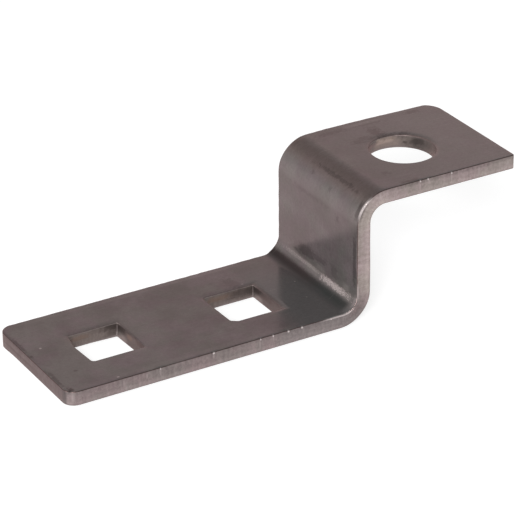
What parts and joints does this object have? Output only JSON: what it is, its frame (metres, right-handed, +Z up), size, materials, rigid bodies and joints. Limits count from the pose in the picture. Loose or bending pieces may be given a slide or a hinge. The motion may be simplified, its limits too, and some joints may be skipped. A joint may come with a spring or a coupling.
{
  "type": "z bracket",
  "caption": "Z bracket folded from flat steel bar, with a long lower leg with square holes and a short raised leg with a round hole, for fixing one part above another.",
  "frame": {"origin": "below the middle of the bracket's overall length and width, on the plane that the lower leg rests on", "axes": "+X from the free end of the long lower leg to the free end of the short upper leg, +Y across the bar away from the near side in the picture, +Z up, through the holes"},
  "size_m": [0.101, 0.03, 0.028],
  "materials": {
    "bare_steel": "bare mill-finish steel, semi-gloss, warm grey-brown"
  },
  "bodies": {
    "root": {"z_bracket": "bare_steel"}
  },
  "joints": []
}
